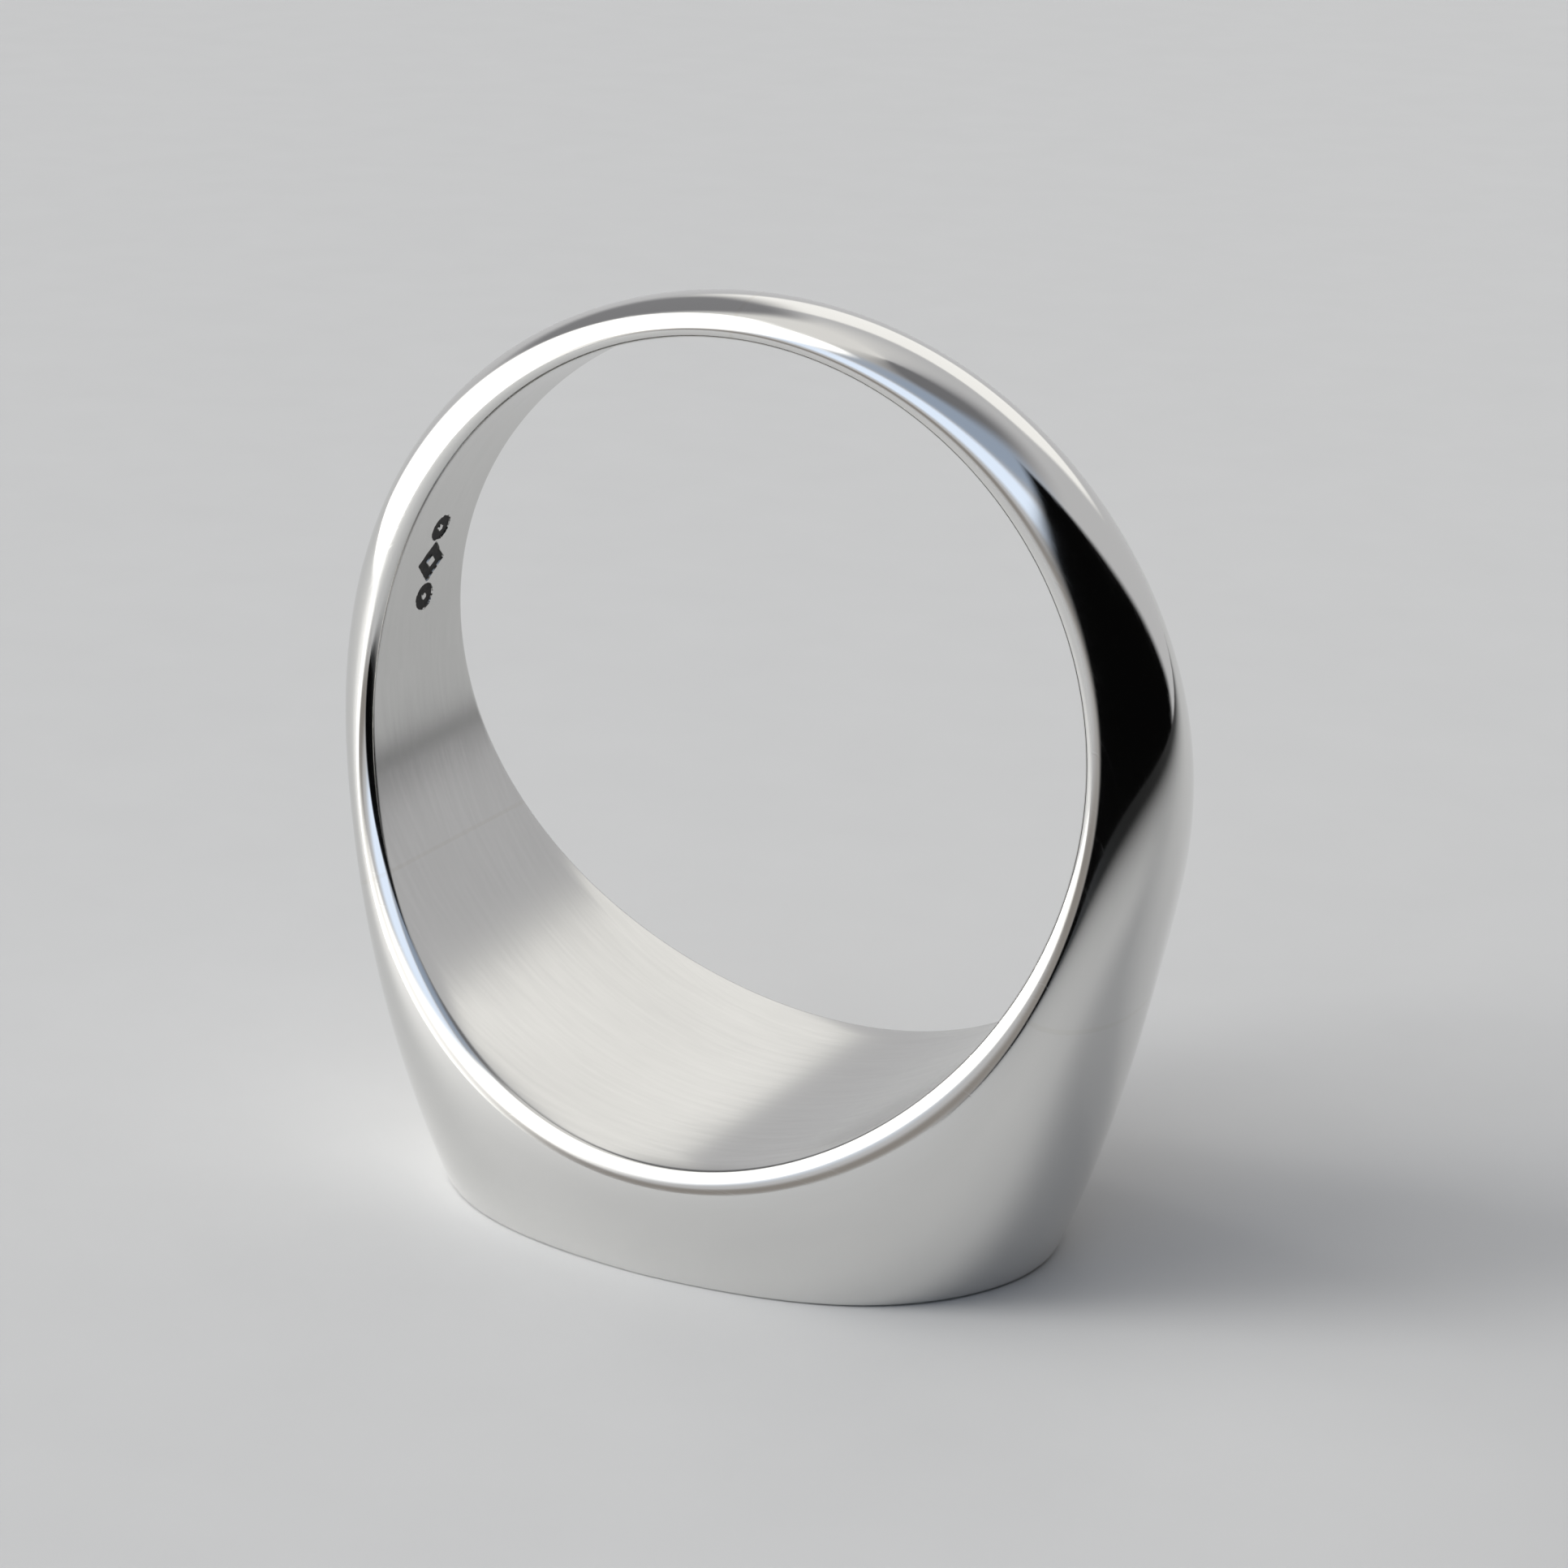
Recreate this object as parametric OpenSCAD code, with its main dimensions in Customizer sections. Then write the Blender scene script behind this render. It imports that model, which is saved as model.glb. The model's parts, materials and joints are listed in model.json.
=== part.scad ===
// Oval signet ring with a solid-backed head, made up from a head block and a
// two-arm D-section shank. Millimetres. The origin is the centre of the finger
// hole, +Y runs along the hole and +Z is up. The ring stands on its oval table,
// which faces down. An angle round the ring is measured from the middle of the
// head: 0 at the table, 90 at the right side, 180 at the back.

/* [Finger hole] */
// Inside diameter of the ring
bore_d = 19; // [15:0.25:23]

/* [Head] */
// Length of the oval table, across the finger
table_len = 16.2; // [13.5:0.1:19.5]
// Metal between the finger hole and the table
head_t = 2.8; // [2.2:0.1:4]
// Width of the ring at the head, along the finger
head_w = 10.8; // [8:0.1:13]

/* [Shank] */
// Width of the shank at the sides of the finger
side_w = 4.2; // [3.3:0.1:6]
// Metal thickness at the sides of the finger
side_t = 1.6; // [1.3:0.05:2.2]
// Width of the shank at the back of the finger
back_w = 2.6; // [2:0.1:3.2]
// Metal thickness at the back of the finger
back_t = 0.85; // [0.7:0.05:1.3]

/* [Rolled edges] */
// Width of the rolled edge at the head, along the finger
edge_head_w = 0.4; // [0.25:0.05:0.6]
// Width of the rolled edge at the back
edge_back_w = 0.15; // [0.1:0.01:0.25]
// How far the rolled edge rises from the finger hole at the head
edge_head_t = 1.1; // [0.8:0.05:1.4]
// How far the rolled edge rises from the finger hole at the back
edge_back_t = 0.15; // [0.1:0.01:0.3]

/* [Solder joints] */
// Angle from the middle of the head to each shoulder joint
shoulder_angle = 62; // [50:1:75]
// Thickness of a solder joint at the finger hole
solder_t = 0.1; // [0.05:0.01:0.2]

/* [Struck mark] */
// Angle from the middle of the head to the mark
mark_angle = 106; // [85:1:142]
// Length of the mark round the ring
mark_len = 2.6; // [2:0.1:3.2]
// Height of the mark along the finger
mark_h = 1.1; // [0.8:0.05:1.35]
// Outside diameter of the small ring at each end of the mark
mark_ring_d = 0.7; // [0.54:0.02:0.86]
// Width of a struck line
mark_line = 0.26; // [0.15:0.01:0.27]
// Depth of a struck line
mark_depth = 0.15; // [0.1:0.01:0.25]
// How far the oxide in the mark lies below the finger hole's wall
oxide_sunk = 0.03; // [0.02:0.01:0.06]

/* [Hidden] */

bore_r = bore_d / 2;
table_z = -(bore_r + head_t);
table_end_angle = atan2(table_len / 2, bore_r + head_t);
solder_angle = solder_t / bore_r * 180 / PI;

// Where the shank begins to swell into the shoulder, and how softly
swell_angle = 75;
swell_soft = 7;
// How quickly the rolled edge grows towards the head
edge_growth = 3;
// How much the dome draws in towards its crown at the head, which rounds the
// table's outline to an oval
dome_slim = 0.2;
// How far a loft runs under the finger hole's wall and past the table, both of
// which trim it
loft_under = 0.04;
loft_over = 0.6;
// How far the punch for the mark reaches to each side of the finger hole's wall
punch_reach = 0.5;

// Rounding of the lofts
shank_step = 3;
head_step = 2;
edge_steps = 5;
dome_steps = 12;
bore_fn = 180;
mark_fn = 24;

silver = [0.86, 0.86, 0.88];
solder_silver = [0.82, 0.81, 0.79];
oxide_black = [0.05, 0.05, 0.06];

// 1 at the middle of the head, 1/2 at the sides, 0 at the back
function lobe(a) = (1 + cos(a)) / 2;

// Half the ring's width, along the finger
taper = ln((side_w - back_w) / (head_w - back_w)) / ln(lobe(90));
function half_width(a) = (back_w + (head_w - back_w) * pow(lobe(a), taper)) / 2;

// Width of the rolled edge, and the radius at which it ends and the ring is at
// its full width
function edge_width(a) =
    edge_back_w + (edge_head_w - edge_back_w) * pow(lobe(a), edge_growth);
function edge_radius(a) =
    bore_r + edge_back_t + (edge_head_t - edge_back_t) * pow(lobe(a), edge_growth);

// Radius of the crown, the ring's outline seen along the finger. The shank
// swells into the shoulders so that they end at the tips of the table.
function shank_radius(a) =
    bore_r + side_t - (side_t - back_t) * pow(1 - min(2 * lobe(a), 1), 2);
function soft_rise(a) = (a + norm([a, swell_soft])) / 2;
swell = (norm([table_len / 2, table_z]) / (bore_r + side_t) - 1)
    / pow(soft_rise(swell_angle - table_end_angle), 2);
function crown_radius(a) =
    shank_radius(a) * (1 + swell * pow(soft_rise(swell_angle - acos(cos(a))), 2));

// Height of the dome that a loft needs at angle a, as a share of the whole dome
function dome_share(a) =
    cos(a) <= 0 ? 1 :
    min(1, ((loft_over - table_z) / cos(a) - edge_radius(a))
        / (crown_radius(a) - edge_radius(a)));

// Half of the ring's section at angle a, as points [along the finger, radius]
// from the finger hole over the rolled edge and up the dome
function half_section(a) =
    let (w = half_width(a),
         r = edge_radius(a),
         roll = r - bore_r + loft_under,
         rise = crown_radius(a) - r,
         slim = dome_slim * pow(lobe(a), 2),
         top = asin(dome_share(a)))
    concat([for (i = [0 : edge_steps - 1])
                let (t = 90 * i / edge_steps)
                [w - edge_width(a) * (1 - sin(t)), r - roll * cos(t)]],
           [for (i = [0 : dome_steps])
                let (t = top * i / (dome_steps + 0.5))
                [w * cos(t) * (1 - slim * pow(sin(t), 2)), r + rise * sin(t)]]);

// The whole section. Its two halves stop half a step short of the crown, where
// one flat joins them.
function whole_section(a) =
    let (half = half_section(a), last = len(half) - 1)
    concat([for (p = half) [-p[0], p[1]]],
           [for (i = [last : -1 : 0]) half[i]]);

// A section point, placed round the ring
function placed(p, a) = [p[1] * sin(a), p[0], -p[1] * cos(a)];

// Solid swept round the ring between two angles
module ring_loft(from, to, step) {
    steps = ceil((to - from) / step);
    sections = [for (i = [0 : steps])
        let (a = from + (to - from) * i / steps)
        [for (p = whole_section(a)) placed(p, a)]];
    n = len(sections[0]);
    walls = [for (i = [0 : steps - 1], j = [0 : n - 1])
        let (k = (j + 1) % n)
        each [[i * n + j, (i + 1) * n + j, i * n + k],
              [i * n + k, (i + 1) * n + j, (i + 1) * n + k]]];
    near_end = [for (j = [0 : n - 1]) j];
    far_end = [for (j = [n - 1 : -1 : 0]) steps * n + j];
    polyhedron([for (s = sections) each s], concat(walls, [near_end, far_end]));
}

// Wedge from the middle of the finger hole, between two angles less than 180
// apart, with its flat sides where the ring's pieces meet
module sector(from, to) {
    far = 3 * (bore_r + head_t);
    middle = (from + to) / 2;
    rotate([90, 0, 0])
        linear_extrude(height = 2 * head_w, center = true)
            polygon([[0, 0], [far * sin(from), -far * cos(from)],
                     [2 * far * sin(middle), -2 * far * cos(middle)],
                     [far * sin(to), -far * cos(to)]]);
}

// Round bar through the finger hole, along Y
module finger_bar(r) {
    rotate([90, 0, 0])
        cylinder(r = r, h = 2 * head_w, center = true, $fn = bore_fn);
}

// A stretch of the ring with flat radial ends, bored for the finger. Its loft
// runs half a step past each end, so that no section lies in an end.
module ring_stretch(from, to, step = shank_step) {
    difference() {
        intersection() {
            ring_loft(from - step / 2, to + step / 2, step);
            sector(from, to);
        }
        finger_bar(bore_r);
    }
}

// A lozenge frame between two small rings
module mark_outline() {
    difference() {
        circle(d = mark_h, $fn = 4);
        circle(d = mark_h - 2 * sqrt(2) * mark_line, $fn = 4);
    }
    for (side = [-1, 1])
        translate([side * (mark_len - mark_ring_d) / 2, 0])
            difference() {
                circle(d = mark_ring_d, $fn = mark_fn);
                circle(d = mark_ring_d - 2 * mark_line, $fn = mark_fn);
            }
}

// The punch that strikes the mark: it reaches from inside the finger hole to
// the bottom of the strike
module mark_punch() {
    intersection() {
        rotate([0, mark_angle, 0])
            translate([0, 0, -bore_r - punch_reach])
                linear_extrude(height = 2 * punch_reach)
                    mark_outline();
        finger_bar(bore_r + mark_depth);
    }
}

// Head block: table, side walls, seat for the finger and roots of the shoulders
module signet_head() {
    color(silver)
        difference() {
            ring_stretch(-shoulder_angle, shoulder_angle, head_step);
            translate([-table_len, -head_w, table_z - head_t])
                cube([2 * table_len, 2 * head_w, head_t]);
        }
}

// Left arm of the shank, with the struck mark in its inner wall
module left_shank() {
    color(silver)
        difference() {
            ring_stretch(180 + solder_angle / 2,
                         360 - shoulder_angle - solder_angle);
            mark_punch();
        }
}

// Right arm of the shank
module right_shank() {
    color(silver)
        ring_stretch(shoulder_angle + solder_angle, 180 - solder_angle / 2);
}

// Hard solder between the head and the left arm
module left_shoulder_solder() {
    color(solder_silver)
        ring_stretch(360 - shoulder_angle - solder_angle, 360 - shoulder_angle);
}

// Hard solder between the head and the right arm
module right_shoulder_solder() {
    color(solder_silver)
        ring_stretch(shoulder_angle, shoulder_angle + solder_angle);
}

// Hard solder that closes the two arms at the back
module back_solder_seam() {
    color(solder_silver)
        ring_stretch(180 - solder_angle / 2, 180 + solder_angle / 2);
}

// Black oxide that fills the struck mark
module hallmark_patina() {
    color(oxide_black)
        difference() {
            mark_punch();
            finger_bar(bore_r + oxide_sunk);
        }
}

signet_head();
left_shank();
right_shank();
left_shoulder_solder();
right_shoulder_solder();
back_solder_seam();
hallmark_patina();
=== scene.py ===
"""Looks of the oval signet ring: polished silver, made up from a head block and
two shank arms, standing on its table on a pale sheet in soft studio light."""
import json
import math

import bpy
from mathutils import Matrix, Vector


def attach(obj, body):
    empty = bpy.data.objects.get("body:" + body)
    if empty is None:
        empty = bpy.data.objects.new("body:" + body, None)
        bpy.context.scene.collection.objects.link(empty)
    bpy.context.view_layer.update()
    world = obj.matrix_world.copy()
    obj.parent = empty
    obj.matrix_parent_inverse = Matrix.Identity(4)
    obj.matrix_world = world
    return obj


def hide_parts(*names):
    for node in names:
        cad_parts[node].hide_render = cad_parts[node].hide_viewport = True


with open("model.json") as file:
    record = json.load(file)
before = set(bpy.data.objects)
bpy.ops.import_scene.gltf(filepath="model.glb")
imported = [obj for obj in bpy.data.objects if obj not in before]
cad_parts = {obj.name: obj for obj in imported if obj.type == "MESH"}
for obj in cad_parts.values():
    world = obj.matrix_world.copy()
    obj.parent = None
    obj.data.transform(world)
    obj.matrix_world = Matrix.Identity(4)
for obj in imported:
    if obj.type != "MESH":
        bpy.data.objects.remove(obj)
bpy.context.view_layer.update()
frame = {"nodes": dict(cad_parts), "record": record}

MM = 0.001
DEG = math.pi / 180

mounts = {mount["name"]: mount for mount in frame["record"]["mounts"]}
FINGER_R = mounts["finger_bore"]["dims"]["r_mm"] * MM
TABLE_Z = mounts["table_face"]["pos_m"][2]

# The ring's own sizes, as the goldsmith would set them out
RING = {
    "Finger Radius": FINGER_R,
    "Table Drop": -TABLE_Z,
    "Table Length": 16.2 * MM,
    "Head Width": 10.8 * MM,
    "Side Width": 4.2 * MM,
    "Side Metal": 1.6 * MM,
    "Back Width": 2.6 * MM,
    "Back Metal": 0.85 * MM,
    "Roll Width At Head": 0.4 * MM,
    "Roll Width At Back": 0.15 * MM,
    "Roll At Head": 1.1 * MM,
    "Roll At Back": 0.15 * MM,
    "Swell Angle": 75 * DEG,
    "Swell Softness": 7 * DEG,
    "Roll Growth": 3.0,
    "Dome Slim": 0.2,
    "Table Edge": 0.12 * MM,
}
SHOULDER_ANGLE = 62 * DEG
SOLDER_ANGLE = 0.1 * MM / FINGER_R
BACK_ANGLE = 180 * DEG

# The struck mark in the left arm
MARK = {
    "Mark Angle": (360 - 106) * DEG,
    "Mark Length": 2.6 * MM,
    "Mark Height": 1.1 * MM,
    "Mark Ring": 0.7 * MM,
    "Mark Line": 0.26 * MM,
    "Mark Depth": 0.15 * MM,
}


# ---- formulas in node trees ----

class Term:
    """A number in a node tree. Arithmetic on it adds the nodes that work it out."""

    def __init__(self, tree, socket):
        self.tree = tree
        self.socket = socket

    def math(self, operation, *others):
        node = self.tree.nodes.new("ShaderNodeMath")
        node.operation = operation
        feed(self.tree, node.inputs[0], self)
        for slot, other in zip(node.inputs[1:], others):
            feed(self.tree, slot, other)
        return Term(self.tree, node.outputs[0])

    def __add__(self, other):
        return self.math("ADD", other)

    def __sub__(self, other):
        return self.math("SUBTRACT", other)

    def __mul__(self, other):
        return self.math("MULTIPLY", other)

    def __truediv__(self, other):
        return self.math("DIVIDE", other)

    def __pow__(self, other):
        return self.math("POWER", other)

    def __rsub__(self, other):
        return (self * -1).math("ADD", other)

    def __rtruediv__(self, other):
        return self.math("POWER", -1.0) * other

    __radd__ = __add__
    __rmul__ = __mul__

    def clamped(self):
        node = self.tree.nodes.new("ShaderNodeClamp")
        feed(self.tree, node.inputs[0], self)
        return Term(self.tree, node.outputs[0])

    def eased(self):
        """0 to 1 with a soft start and a soft end"""
        x = self.clamped()
        return x * x * (3 - 2 * x)


def feed(tree, slot, value):
    if isinstance(value, Term):
        tree.links.new(value.socket, slot)
    else:
        slot.default_value = value


def root(x):
    return x.math("SQRT")


def length_of(x, y):
    return root(x * x + y * y)


def soft_rise(x, softness):
    """x where it is well above 0 and 0 well below, with a soft bend between"""
    return (x + length_of(x, softness)) * 0.5


def smaller(a, b):
    return a.math("MINIMUM", b)


def vector_of(tree, x, y, z):
    node = tree.nodes.new("ShaderNodeCombineXYZ")
    for slot, value in zip(node.inputs, (x, y, z)):
        feed(tree, slot, value)
    return node.outputs[0]


# ---- the metal ----

# Where the dome gives way to the table's last stretch, and how softly
TOP_ANGLE = 78 * DEG
TOP_SOFTNESS = 10 * DEG
# Least cosine in the table's rule, which keeps its plane far out behind the head
LEAST_COSINE = 0.2
# Width of the slope at the side of a struck line, and how far round the ring from
# the mark's middle its rule holds
STRIKE_SLOPE = 0.03 * MM
MARK_REACH = 20 * DEG
# Edges sharper than this stay sharp, and points closer than this become one
CREASE_ANGLE = 40 * DEG
WELD = 0.00005 * MM


def section_rows(wall, roll, dome, top):
    """Shares of the way from the middle of the finger hole's wall to the crown at
    which the rolled edge, the dome and the table's last stretch begin, and the
    number of rows"""
    rows = wall + roll + dome + top
    return wall / rows, (wall + roll) / rows, (wall + roll + dome) / rows, rows


def ring_stretch_tree():
    """Geometry nodes for one stretch of the ring, from one angle to another round
    the finger: a section of finger wall, rolled edge, dome and table, swept round
    and closed at both ends."""
    tree = bpy.data.node_groups.new("ring_stretch", "GeometryNodeTree")
    tree.is_modifier = True
    face = tree.interface
    face.new_socket("Geometry", in_out="OUTPUT", socket_type="NodeSocketGeometry")
    for name in ("From Angle", "To Angle", "Fine Share", "Fine Spacing",
                 "Roll Row", "Dome Row", "Top Row", *RING, *MARK):
        face.new_socket(name, in_out="INPUT", socket_type="NodeSocketFloat")
    for name in ("Columns", "Rows"):
        face.new_socket(name, in_out="INPUT", socket_type="NodeSocketInt")
    face.new_socket("Metal", in_out="INPUT", socket_type="NodeSocketMaterial")
    given = tree.nodes.new("NodeGroupInput")

    def size(name):
        return Term(tree, given.outputs[name])

    # A grid of columns round the ring and rows across the section
    grid = tree.nodes.new("GeometryNodeMeshGrid")
    feed(tree, grid.inputs["Size X"], 1.0)
    feed(tree, grid.inputs["Size Y"], 1.0)
    feed(tree, grid.inputs["Vertices X"], size("Columns"))
    feed(tree, grid.inputs["Vertices Y"], size("Rows"))
    place = tree.nodes.new("GeometryNodeInputPosition")
    split = tree.nodes.new("ShaderNodeSeparateXYZ")
    tree.links.new(place.outputs[0], split.inputs[0])
    round_share = Term(tree, split.outputs["X"]) + 0.5
    across = Term(tree, split.outputs["Y"]) * 2

    # The first and the last column close the ends, so the sweep lies between them
    gap = 1 / (size("Columns") - 1)
    share = ((round_share - gap) / (1 - 2 * gap)).clamped()
    closing = (round_share - 0.5).math("ABSOLUTE").math("GREATER_THAN", 0.5 - gap * 0.5)

    # Columns lie closer together at the fine share
    fine = size("Fine Share")
    reach = fine.math("MAXIMUM", 1 - fine)

    def spread(offset):
        return offset * (size("Fine Spacing")
                         + (1 - size("Fine Spacing")) * (offset / reach) ** 2)

    before = spread(fine)
    swept = (spread(share - fine) + before) / (spread(1 - fine) + before)
    angle = size("From Angle") + (size("To Angle") - size("From Angle")) * swept

    # The ring's outline at this angle
    lobe = (1 + angle.math("COSINE")) * 0.5
    spare_width = size("Head Width") - size("Back Width")
    taper = ((size("Side Width") - size("Back Width")) / spare_width).math(
        "LOGARITHM", 0.5)
    half_width = (size("Back Width") + spare_width * lobe ** taper) * 0.5
    growth = lobe ** size("Roll Growth")
    roll_rise = size("Roll At Back") + (
        size("Roll At Head") - size("Roll At Back")) * growth
    roll_width = size("Roll Width At Back") + (
        size("Roll Width At Head") - size("Roll Width At Back")) * growth
    roll_radius = size("Finger Radius") + roll_rise
    thinning = (size("Side Metal") - size("Back Metal")) * (
        1 - smaller(2 * lobe, 1.0)) ** 2
    shank_radius = size("Finger Radius") + size("Side Metal") - thinning
    half_table = size("Table Length") * 0.5
    table_end = half_table.math("ARCTAN2", size("Table Drop"))
    swell = ((length_of(half_table, size("Table Drop"))
              / (size("Finger Radius") + size("Side Metal")) - 1)
             / soft_rise(size("Swell Angle") - table_end, size("Swell Softness")) ** 2)
    turned = angle.math("COSINE").math("ARCCOSINE")
    crown = shank_radius * (1 + swell * soft_rise(
        size("Swell Angle") - turned, size("Swell Softness")) ** 2)
    rise = crown - roll_radius
    table_radius = size("Table Drop") / angle.math("COSINE").math("MAXIMUM", LEAST_COSINE)

    # How far along wall, roll, dome and top this row is
    depth = across.math("ABSOLUTE")
    wall_share = (depth / size("Roll Row")).clamped()
    roll_share = ((depth - size("Roll Row"))
                  / (size("Dome Row") - size("Roll Row"))).clamped()
    dome_share = ((depth - size("Dome Row"))
                  / (size("Top Row") - size("Dome Row"))).eased()
    top_share = ((depth - size("Top Row")) / (1 - size("Top Row"))).clamped()
    right_angle = 90 * DEG
    at_table = smaller((table_radius - roll_radius) / rise, 1.0).math("ARCSINE")
    top_angle = at_table - soft_rise(at_table - TOP_ANGLE, TOP_SOFTNESS)
    dome_angle = (top_angle * dome_share
                  + (right_angle - top_angle) * top_share ** 2)
    roll_angle = roll_share * right_angle

    # The struck mark: how far this point is from the nearest stroke's middle
    along = size("Finger Radius") * (angle - size("Mark Angle")).math("SINE")
    along = along.math("ABSOLUTE")
    ring_outer = size("Mark Ring") * 0.5
    ring_centre = size("Mark Length") * 0.5 - ring_outer
    ring_middle = ring_outer - size("Mark Line") * 0.5
    frame_middle = size("Mark Height") * 0.5 - size("Mark Line") * math.sqrt(0.5)
    wall_place = (half_width - roll_width) * wall_share
    from_ring = (length_of(along - ring_centre, wall_place)
                 - ring_middle).math("ABSOLUTE")
    from_frame = (along + wall_place - frame_middle).math("ABSOLUTE") * math.sqrt(0.5)
    stroke = size("Mark Line") * 0.5 - smaller(from_ring, from_frame)
    struck = ((stroke / STRIKE_SLOPE).eased() * size("Mark Depth")
              * (1 - roll_share.math("GREATER_THAN", 0.0))
              * (1 - (angle - size("Mark Angle")).math("ABSOLUTE")
                 .math("GREATER_THAN", MARK_REACH)))

    # The point on the section, and then round the ring
    dome_width = (half_width * dome_angle.math("COSINE")
                  * (1 - size("Dome Slim") * lobe ** 2
                     * dome_angle.math("SINE") ** 2))
    width = (wall_place + roll_width * roll_angle.math("SINE")
             + dome_width - half_width)
    radius = (size("Finger Radius") + roll_rise * (1 - roll_angle.math("COSINE"))
              + rise * dome_angle.math("SINE") + struck)
    radius = radius - soft_rise(radius - table_radius, size("Table Edge"))
    middle = (size("Finger Radius") + smaller(crown, table_radius)) * 0.5
    radius = radius + (middle - radius) * closing
    width = width * (1 - closing)
    side = across.math("SIGN")
    moved = tree.nodes.new("GeometryNodeSetPosition")
    tree.links.new(grid.outputs["Mesh"], moved.inputs["Geometry"])
    tree.links.new(
        vector_of(tree, radius * angle.math("SINE"), width * side,
                  radius * angle.math("COSINE") * -1),
        moved.inputs["Position"])

    merged = tree.nodes.new("GeometryNodeMergeByDistance")
    merged.inputs["Distance"].default_value = WELD
    tree.links.new(moved.outputs[0], merged.inputs["Geometry"])
    edge = tree.nodes.new("GeometryNodeInputMeshEdgeAngle")
    sharp = Term(tree, edge.outputs["Unsigned Angle"]).math("GREATER_THAN", CREASE_ANGLE)
    smooth = tree.nodes.new("GeometryNodeSetShadeSmooth")
    smooth.domain = "FACE"
    tree.links.new(merged.outputs[0], smooth.inputs["Geometry"])
    crease = tree.nodes.new("GeometryNodeSetShadeSmooth")
    crease.domain = "EDGE"
    crease.inputs["Shade Smooth"].default_value = False
    tree.links.new(smooth.outputs[0], crease.inputs["Geometry"])
    tree.links.new(sharp.socket, crease.inputs["Selection"])
    whole = tree.nodes.new("GeometryNodeRealizeInstances")
    tree.links.new(crease.outputs[0], whole.inputs["Geometry"])
    coated = tree.nodes.new("GeometryNodeSetMaterial")
    tree.links.new(whole.outputs[0], coated.inputs["Geometry"])
    tree.links.new(given.outputs["Metal"], coated.inputs["Material"])
    result = tree.nodes.new("NodeGroupOutput")
    tree.links.new(coated.outputs[0], result.inputs["Geometry"])
    return tree


def made_mesh(name, tree, values):
    """The tree's result for these values, as a plain mesh object"""
    maker = bpy.data.objects.new(name + "_maker", bpy.data.meshes.new(name + "_maker"))
    bpy.context.scene.collection.objects.link(maker)
    nodes = maker.modifiers.new("rule", "NODES")
    nodes.node_group = tree
    for socket in tree.interface.items_tree:
        if socket.in_out == "INPUT":
            nodes[socket.identifier] = values[socket.name]
    shown = maker.evaluated_get(bpy.context.evaluated_depsgraph_get())
    mesh = bpy.data.meshes.new_from_object(shown)
    mesh.name = name
    bpy.data.objects.remove(maker)
    piece = bpy.data.objects.new(name, mesh)
    bpy.context.scene.collection.objects.link(piece)
    return piece


def ring_piece(name, node, tree, metal, from_angle, to_angle, columns, rows,
               fine_share=0.5, fine_spacing=1.0, marked=False):
    """One stretch of the ring, in place of its CAD node"""
    roll_row, dome_row, top_row, half_rows = rows
    mark = dict(MARK)
    if not marked:
        mark["Mark Depth"] = 0.0
    piece = made_mesh(name, tree, {
        "From Angle": from_angle, "To Angle": to_angle,
        "Fine Share": fine_share, "Fine Spacing": fine_spacing,
        "Roll Row": roll_row, "Dome Row": dome_row, "Top Row": top_row,
        "Columns": columns + 3, "Rows": 2 * half_rows + 1, "Metal": metal,
        **RING, **mark})
    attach(piece, "root")
    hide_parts(node)
    return piece


# ---- finishes ----

# Noise scales, as waves a metre
BUFF_HOLLOWS = 260
BUFF_WANDER = 900
HAIR_SCRATCHES = 900
# How thin a hairline scratch is drawn out, and the directions of the three sets
HAIR_THINNESS = 60
HAIR_TURNS = (0.3, 1.5, 2.6)
# How far out from the finger hole's wall its satin fades into the mirror polish
SATIN_FADE = 0.12 * MM
SATIN_ROUGHNESS = 0.18
# The satin wall looks this much darker than the mirror polish
SATIN_TONE = 0.72
# Height of the finest relief on the silver
RELIEF = 0.012 * MM
OXIDE_GRAIN = 9000
OXIDE_RELIEF = 0.01 * MM


def shader_group(name, inputs, outputs):
    group = bpy.data.node_groups.new(name, "ShaderNodeTree")
    for label, kind in inputs:
        group.interface.new_socket(label, in_out="INPUT", socket_type=kind)
    for label, kind in outputs:
        group.interface.new_socket(label, in_out="OUTPUT", socket_type=kind)
    return group, group.nodes.new("NodeGroupInput"), group.nodes.new("NodeGroupOutput")


def noise(tree, place, scale, detail=3.0, roughness=0.5):
    node = tree.nodes.new("ShaderNodeTexNoise")
    tree.links.new(place, node.inputs["Vector"])
    node.inputs["Scale"].default_value = scale
    node.inputs["Detail"].default_value = detail
    node.inputs["Roughness"].default_value = roughness
    return Term(tree, node.outputs["Fac"])


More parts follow.
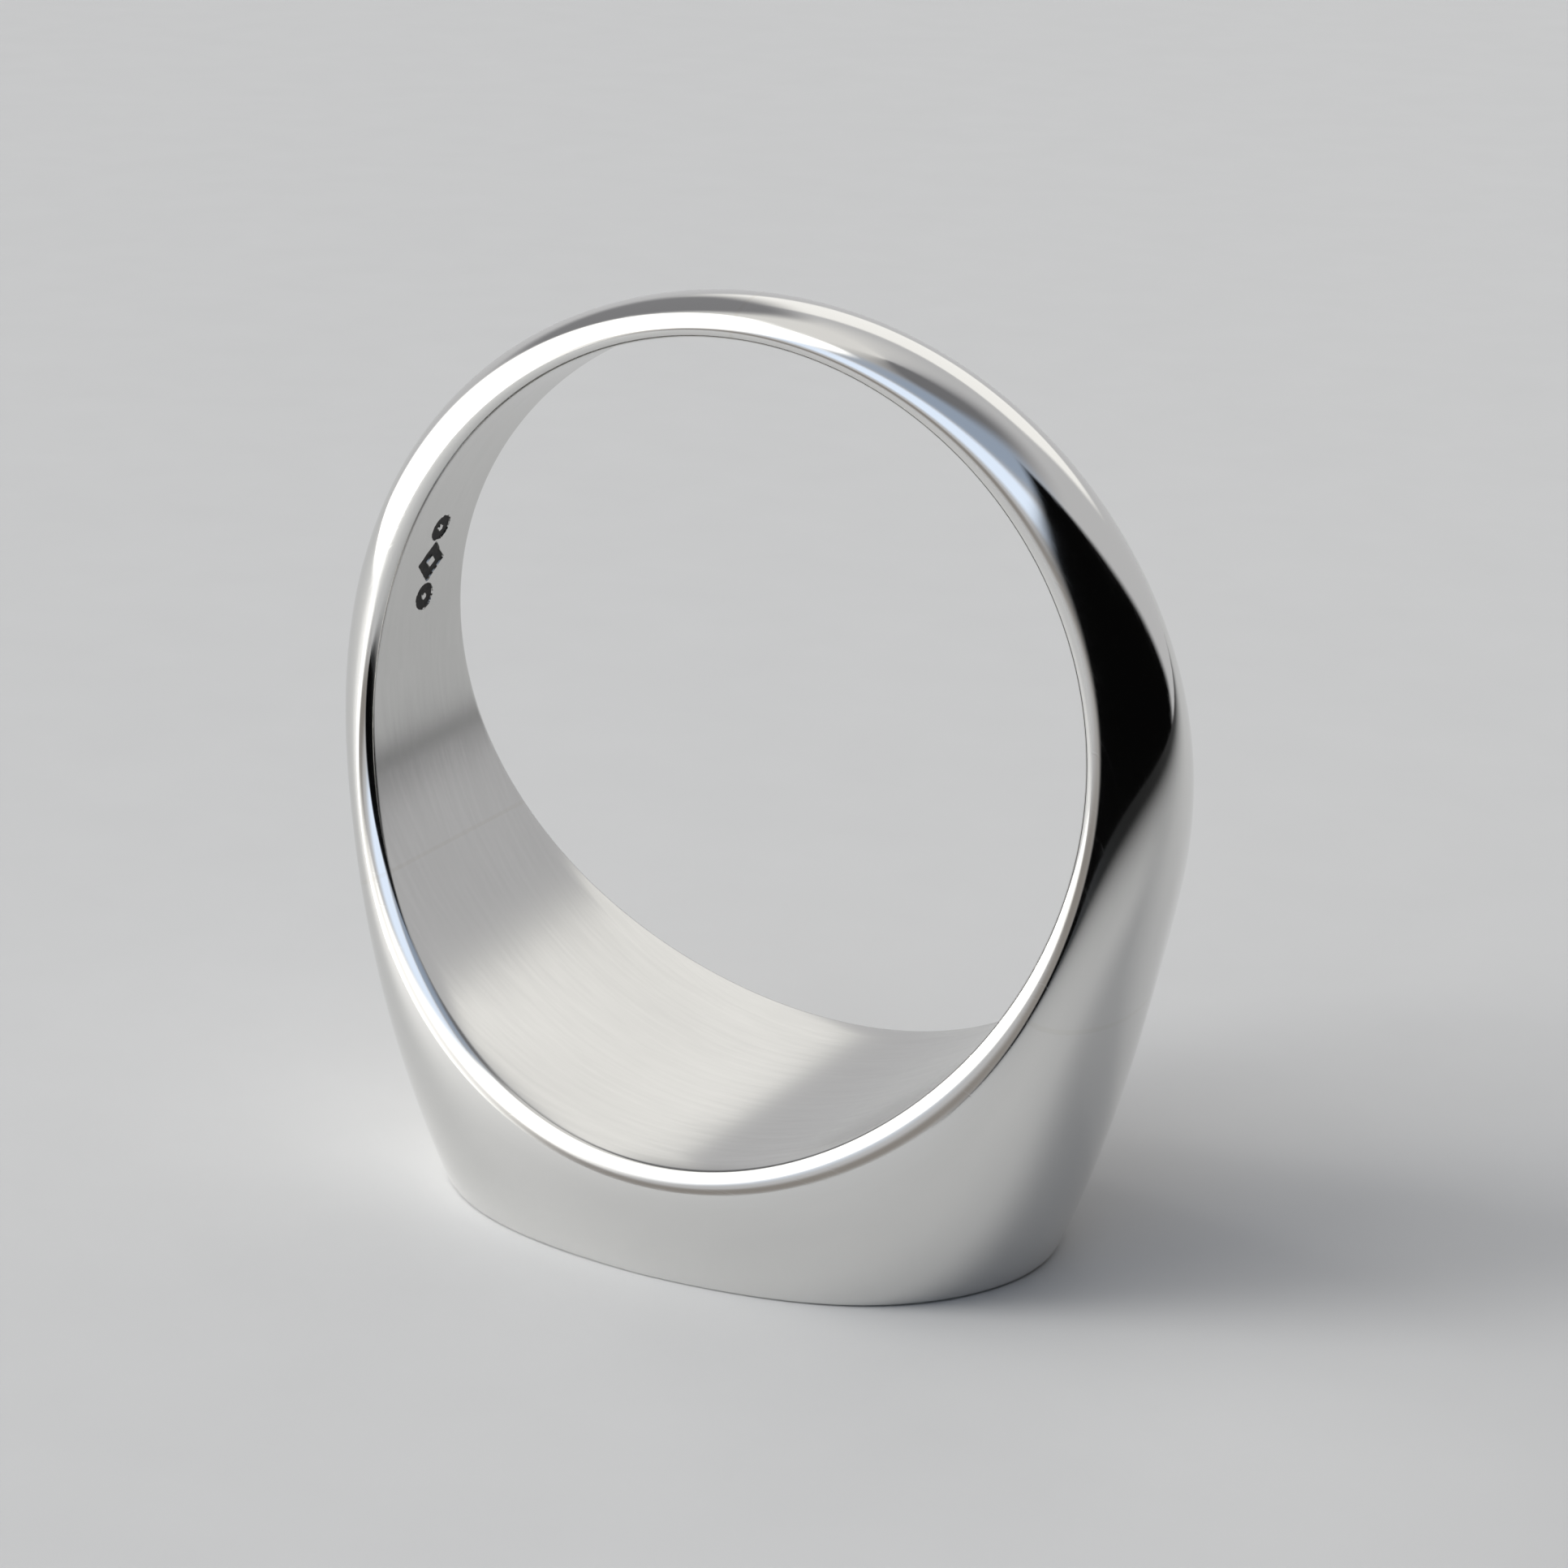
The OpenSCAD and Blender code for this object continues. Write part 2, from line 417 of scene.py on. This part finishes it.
def silver_finish_group():
    """Silver that is mirror bright outside and satin inside the finger hole. Outside
    it has slow hollows left by the buff, fine hairline scratches and dull specks,
    and inside it has fine lines that run round the finger."""
    group, given, result = shader_group(
        "silver_finish",
        [("Place", "NodeSocketVector"), ("Colour", "NodeSocketColor"),
         ("Satin Colour", "NodeSocketColor"), ("Dullness", "NodeSocketFloat"),
         ("Scratches", "NodeSocketFloat"), ("Finger Radius", "NodeSocketFloat")],
        [("Base Colour", "NodeSocketColor"), ("Roughness", "NodeSocketFloat"),
         ("Height", "NodeSocketFloat")])
    place = given.outputs["Place"]

    def value(name):
        return Term(group, given.outputs[name])

    # Mirror polish
    hollows = noise(group, place, BUFF_HOLLOWS, 1.0)
    wander = noise(group, place, BUFF_WANDER, 2.0)
    hair = None
    for turn in HAIR_TURNS:
        mapping = group.nodes.new("ShaderNodeMapping")
        mapping.inputs["Rotation"].default_value = (turn, turn * 0.7, turn * 1.9)
        mapping.inputs["Scale"].default_value = (1, HAIR_THINNESS, 1)
        group.links.new(place, mapping.inputs["Vector"])
        line = noise(group, mapping.outputs[0], HAIR_SCRATCHES, 2.0)
        line = ((line - 0.66) * 12).clamped()
        hair = line if hair is None else hair.math("MAXIMUM", line)
    scratch = hair * value("Scratches")
    polished = hollows + wander * 0.12 - scratch * 0.02
    bright = value("Dullness") + (scratch * 0.5 + (wander - 0.5).math("ABSOLUTE")) * 0.10

    # Satin wall. Its noise is drawn out round the finger.
    split = group.nodes.new("ShaderNodeSeparateXYZ")
    group.links.new(place, split.inputs[0])
    x, y, z = (Term(group, split.outputs[axis]) for axis in "XYZ")
    radius = length_of(x, z)
    wall = 1 - ((radius - value("Finger Radius")) / SATIN_FADE).eased()
    turn = z.math("ARCTAN2", x)
    lines = noise(group, vector_of(group, turn * 0.35, y * 420, radius * 420), 12, 4.0, 0.7)
    clouds = noise(group, place, BUFF_HOLLOWS, 3.0)
    satin = SATIN_ROUGHNESS + (lines - 0.5) * 0.10 + (clouds - 0.5) * 0.05
    rough = bright + (satin - bright) * wall
    group.links.new(rough.socket, result.inputs["Roughness"])
    relief = polished * (1 - wall * 0.85) + lines * 0.12 * wall
    group.links.new(relief.socket, result.inputs["Height"])
    tone = group.nodes.new("ShaderNodeMix")
    tone.data_type = "RGBA"
    group.links.new(given.outputs["Colour"], tone.inputs["A"])
    group.links.new(given.outputs["Satin Colour"], tone.inputs["B"])
    shade = (wall * (0.5 + (clouds - 0.5) * 0.35 + (lines - 0.5) * 0.35)).clamped()
    group.links.new(shade.socket, tone.inputs["Factor"])
    group.links.new(tone.outputs["Result"], result.inputs["Base Colour"])
    return group


def silver(name, finish, colour, dull, scratches):
    """Silver of this colour, with the finish placed in it at its own values"""
    material = bpy.data.materials.new(name)
    material.use_nodes = True
    tree = material.node_tree
    shader = tree.nodes["Principled BSDF"]
    shader.inputs["Metallic"].default_value = 1.0
    place = tree.nodes.new("ShaderNodeTexCoord").outputs["Object"]
    surface = tree.nodes.new("ShaderNodeGroup")
    surface.node_tree = finish
    tree.links.new(place, surface.inputs["Place"])
    surface.inputs["Colour"].default_value = (*colour, 1)
    surface.inputs["Satin Colour"].default_value = (
        *(SATIN_TONE * part for part in colour), 1)
    surface.inputs["Dullness"].default_value = dull
    surface.inputs["Scratches"].default_value = scratches
    surface.inputs["Finger Radius"].default_value = FINGER_R
    tree.links.new(surface.outputs["Base Colour"], shader.inputs["Base Color"])
    tree.links.new(surface.outputs["Roughness"], shader.inputs["Roughness"])
    bump = tree.nodes.new("ShaderNodeBump")
    bump.inputs["Distance"].default_value = RELIEF
    bump.inputs["Strength"].default_value = 0.5
    tree.links.new(surface.outputs["Height"], bump.inputs["Height"])
    tree.links.new(bump.outputs[0], shader.inputs["Normal"])
    return material


def black_oxide():
    """Silver sulphide left in the struck mark: matt, sooty and uneven"""
    material = bpy.data.materials.new("black_oxide")
    material.use_nodes = True
    tree = material.node_tree
    shader = tree.nodes["Principled BSDF"]
    place = tree.nodes.new("ShaderNodeTexCoord").outputs["Object"]
    soot = noise(tree, place, OXIDE_GRAIN, 4.0, 0.7)
    tone = tree.nodes.new("ShaderNodeMix")
    tone.data_type = "RGBA"
    tone.inputs["A"].default_value = (0.012, 0.012, 0.014, 1)
    tone.inputs["B"].default_value = (0.06, 0.055, 0.05, 1)
    tree.links.new(((soot - 0.35) * 2.5).clamped().socket, tone.inputs["Factor"])
    tree.links.new(tone.outputs["Result"], shader.inputs["Base Color"])
    tree.links.new((0.55 + soot * 0.3).socket, shader.inputs["Roughness"])
    bump = tree.nodes.new("ShaderNodeBump")
    bump.inputs["Distance"].default_value = OXIDE_RELIEF
    tree.links.new(soot.socket, bump.inputs["Height"])
    tree.links.new(bump.outputs[0], shader.inputs["Normal"])
    return material


# ---- the ring ----

finish = silver_finish_group()
polished_silver = silver("polished_silver", finish, (0.77, 0.765, 0.75), 0.06, 1.0)
hard_solder = silver("hard_solder", finish, (0.75, 0.74, 0.715), 0.08, 1.0)
ring_rule = ring_stretch_tree()

back_from = BACK_ANGLE - SOLDER_ANGLE / 2
back_to = BACK_ANGLE + SOLDER_ANGLE / 2
right_joint = SHOULDER_ANGLE + SOLDER_ANGLE
left_joint = 2 * BACK_ANGLE - SHOULDER_ANGLE
plain_rows = section_rows(6, 14, 26, 12)
ring_piece("head_block", "signet_head", ring_rule, polished_silver,
           -SHOULDER_ANGLE, SHOULDER_ANGLE, 400, section_rows(8, 14, 40, 22))
ring_piece("right_arm", "right_shank", ring_rule, polished_silver,
           right_joint, back_from, 300, plain_rows)
ring_piece("left_arm", "left_shank", ring_rule, polished_silver,
           back_to, left_joint - SOLDER_ANGLE, 500, section_rows(44, 10, 22, 10),
           fine_share=(MARK["Mark Angle"] - back_to)
           / (left_joint - SOLDER_ANGLE - back_to),
           fine_spacing=0.3, marked=True)
for name, node, start in (
        ("right_solder", "right_shoulder_solder", SHOULDER_ANGLE),
        ("left_solder", "left_shoulder_solder", left_joint - SOLDER_ANGLE),
        ("back_solder", "back_solder_seam", back_from)):
    ring_piece(name, node, ring_rule, hard_solder,
               start, start + SOLDER_ANGLE, 4, plain_rows)

oxide = frame["nodes"]["hallmark_patina"]
oxide.data.materials.clear()
oxide.data.materials.append(black_oxide())


# ---- the sheet it stands on, the light and the camera ----

# The sheet's edges, in metres: it ends well past what the lens sees
SHEET_LEFT, SHEET_RIGHT, SHEET_FRONT, SHEET_BACK = -0.6, 0.12, -0.3, 0.7
# Painted shade: the sheet's colour starts darkening this far to the right of the ring and
# deepens to near black over this much
PAINTED_SHADE_START = 15 * MM
PAINTED_SHADE_LENGTH = 65 * MM


def pale_sheet():
    """A pale matt sheet, faintly flecked, that the ring stands on. Its colour carries
    painted shade that darkens to near black towards the right.
    """
    material = bpy.data.materials.new("pale_sheet")
    material.use_nodes = True
    tree = material.node_tree
    shader = tree.nodes["Principled BSDF"]
    shader.inputs["Roughness"].default_value = 0.7
    shader.inputs["Specular IOR Level"].default_value = 0.2
    place = tree.nodes.new("ShaderNodeTexCoord").outputs["Object"]
    fleck = noise(tree, place, 300, 3.0)
    tone = tree.nodes.new("ShaderNodeMix")
    tone.data_type = "RGBA"
    tone.inputs["A"].default_value = (0.580, 0.580, 0.582, 1)
    tone.inputs["B"].default_value = (0.605, 0.605, 0.607, 1)
    tree.links.new(fleck.socket, tone.inputs["Factor"])

    # Painted shade: its colour darkens to near black towards the right and a little towards
    # the front
    split = tree.nodes.new("ShaderNodeSeparateXYZ")
    tree.links.new(place, split.inputs[0])
    x, y = Term(tree, split.outputs["X"]), Term(tree, split.outputs["Y"])
    away = x * 0.985 - y * 0.17
    shade = ((away - PAINTED_SHADE_START) / PAINTED_SHADE_LENGTH).eased()
    painted_shade_mix = tree.nodes.new("ShaderNodeMix")
    painted_shade_mix.data_type = "RGBA"
    tree.links.new(tone.outputs["Result"], painted_shade_mix.inputs["A"])
    painted_shade_mix.inputs["B"].default_value = (0.01, 0.01, 0.01, 1)
    tree.links.new(shade.socket, painted_shade_mix.inputs["Factor"])
    tree.links.new(painted_shade_mix.outputs["Result"], shader.inputs["Base Color"])

    mesh = bpy.data.meshes.new("sheet")
    mesh.from_pydata([(SHEET_LEFT, SHEET_FRONT, TABLE_Z),
                      (SHEET_RIGHT, SHEET_FRONT, TABLE_Z),
                      (SHEET_RIGHT, SHEET_BACK, TABLE_Z),
                      (SHEET_LEFT, SHEET_BACK, TABLE_Z)], [], [(0, 1, 2, 3)])
    mesh.materials.append(material)
    sheet = bpy.data.objects.new("sheet", mesh)
    bpy.context.scene.collection.objects.link(sheet)


# What surrounds the ring, seen from it: azimuth and elevation of the middle of
# each panel, half its width and height, how far it leans, how square its outline
# is, how softly it fades, and its colour. Azimuth 0 is in front of the ring and
# 90 is to its right. A later panel hides the ones before it.
STUDIO = (
    # ceiling, lit on the left
    ((-75, 88), (95, 32), 0, 4, 24, (0.86, 0.85, 0.83)),
    ((65, 85), (75, 28), 0, 4, 24, (0.19, 0.19, 0.20)),
    # wall behind the ring, and its shaded corner on the left
    ((-172, 32), (31, 14), 0, 4, 4, (1.1, 1.09, 1.06)),
    ((-122, 40), (25, 22), 0, 3, 12, (0.25, 0.25, 0.26)),
    # sky through the window's second pane, then the window itself and the sun
    # on its blind
    ((30, 54), (48, 13), 28, 3, 14, (0.35, 0.42, 0.53)),
    ((2, 27), (30, 12), 22, 3, 9, (0.95, 1.08, 1.28)),
    ((-62, 29), (38, 36), 20, 6, 7, (1.85, 1.84, 1.80)),
    ((-56, 21), (13, 12), 0, 2, 7, (18, 17.9, 17.4)),
    # table's far edge, and the dark side of the room on the right
    ((-18, 4), (20, 4), 0, 3, 5, (0.30, 0.28, 0.26)),
    ((68, 0), (72, 56), 0, 1.2, 7, (0.002, 0.002, 0.002)),
)
STUDIO_BASE = (0.58, 0.58, 0.59)


def studio_light():
    """The room's panels of light and dark, laid over one another"""
    world = bpy.data.worlds.new("studio")
    bpy.context.scene.world = world
    world.use_nodes = True
    tree = world.node_tree
    split = tree.nodes.new("ShaderNodeSeparateXYZ")
    tree.links.new(tree.nodes.new("ShaderNodeTexCoord").outputs["Generated"],
                   split.inputs[0])
    x, y, z = (Term(tree, split.outputs[axis]) for axis in "XYZ")
    azimuth = x.math("ARCTAN2", y * -1) / DEG
    elevation = z.math("ARCSINE") / DEG
    shown = None
    for middle, half, lean, square, fade, colour in STUDIO:
        turned = (azimuth - middle[0]).math("WRAP", 180.0, -180.0)
        above = elevation - middle[1]
        across = turned - above * math.tan(lean * DEG)
        reach = (((across / half[0]).math("ABSOLUTE") ** square
                  + (above / half[1]).math("ABSOLUTE") ** square)
                 ** (1 / square))
        panel = ((1 - reach) * (min(half) / fade) + 0.5).eased()
        layer = tree.nodes.new("ShaderNodeMix")
        layer.data_type = "RGBA"
        if shown is None:
            layer.inputs["A"].default_value = (*STUDIO_BASE, 1)
        else:
            tree.links.new(shown, layer.inputs["A"])
        layer.inputs["B"].default_value = (*colour, 1)
        tree.links.new(panel.socket, layer.inputs["Factor"])
        shown = layer.outputs["Result"]
    tree.links.new(shown, tree.nodes["Background"].inputs["Color"])


def camera():
    """Long lens, a little to the right of the ring's front and above it. It aims a
    little to the right of the finger hole's centre and below it."""
    azimuth, elevation, roll = 28.86 * DEG, 18.09 * DEG, 0.69 * DEG
    distance = 96.68 * MM
    aim_right, aim_down = 0.717 * MM, 1.477 * MM
    data = bpy.data.cameras.new("camera")
    data.sensor_width = 36
    data.lens = 93.168
    data.clip_start = 0.001
    data.clip_end = 20
    away = Vector((math.sin(azimuth) * math.cos(elevation),
                   -math.cos(azimuth) * math.cos(elevation),
                   math.sin(elevation)))
    right = Vector((math.cos(azimuth), math.sin(azimuth), 0))
    up = away.cross(right)
    across = right * math.cos(roll) + up * math.sin(roll)
    above = up * math.cos(roll) - right * math.sin(roll)
    aim = across * aim_right - above * aim_down
    back = (away * distance - aim).normalized()
    side = above.cross(back).normalized()
    top = back.cross(side)
    turn = Matrix((side, top, back)).transposed()
    lens = bpy.data.objects.new("camera", data)
    lens.matrix_world = Matrix.Translation(away * distance) @ turn.to_4x4()
    bpy.context.scene.collection.objects.link(lens)
    bpy.context.scene.camera = lens


pale_sheet()
studio_light()
camera()

bpy.context.scene.view_settings.view_transform = "Standard"
